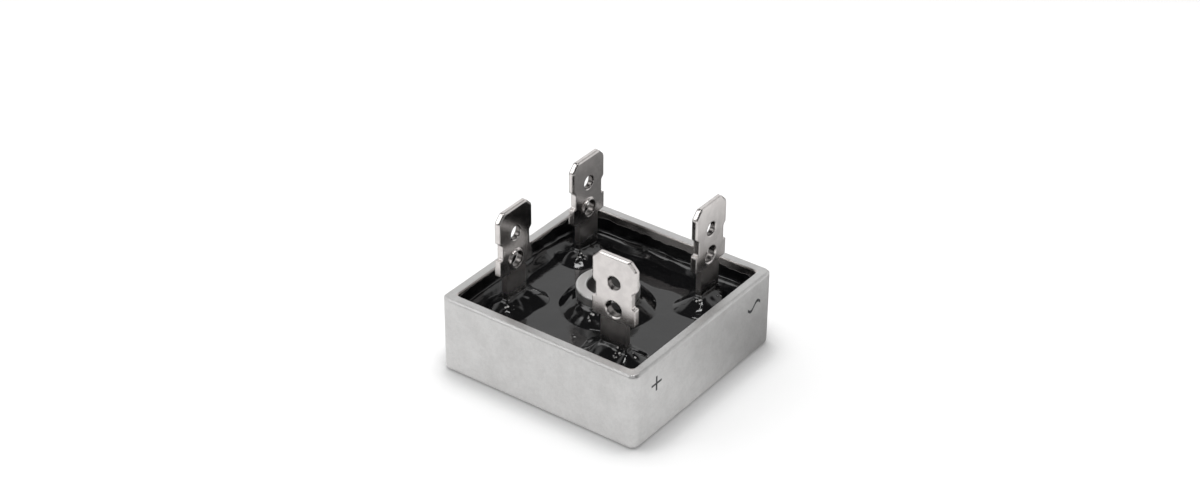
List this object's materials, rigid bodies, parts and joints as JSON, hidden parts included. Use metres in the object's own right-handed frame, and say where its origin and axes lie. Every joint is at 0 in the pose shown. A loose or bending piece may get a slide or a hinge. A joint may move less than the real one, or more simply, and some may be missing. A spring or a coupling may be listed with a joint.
{
  "type": "bridge rectifier",
  "caption": "Square potted bridge rectifier: aluminium case with a central fixing bore, glossy black potting and upright push-on blade terminals, one turned a quarter.",
  "frame": {"origin": "centre of the flat base of the case", "axes": "+Z out of the open side of the case, along the blades; the marked wall faces -Y; the positive blade stands in the corner of -X and -Y"},
  "size_m": [0.0286, 0.0286, 0.0212],
  "materials": {
    "case": "tumbled satin",
    "insulating_sheet": "matte",
    "potting": "glossy cured epoxy",
    "terminal": "bright nickel plate",
    "diode_die": "polished silicon",
    "solder": "dull solder"
  },
  "bodies": {
    "root": {"case": "case", "insulating_sheet": "insulating_sheet", "potting_compound": "potting", "terminal_positive": "terminal", "terminal_negative": "terminal", "terminal_ac_left": "terminal", "terminal_ac_right": "terminal", "diode_die_front": "diode_die", "diode_die_right": "diode_die", "diode_die_back": "diode_die", "diode_die_left": "diode_die", "solder_lower_front": "solder", "solder_lower_right": "solder", "solder_lower_back": "solder", "solder_lower_left": "solder", "solder_upper_front": "solder", "solder_upper_right": "solder", "solder_upper_back": "solder", "solder_upper_left": "solder"}
  },
  "joints": []
}
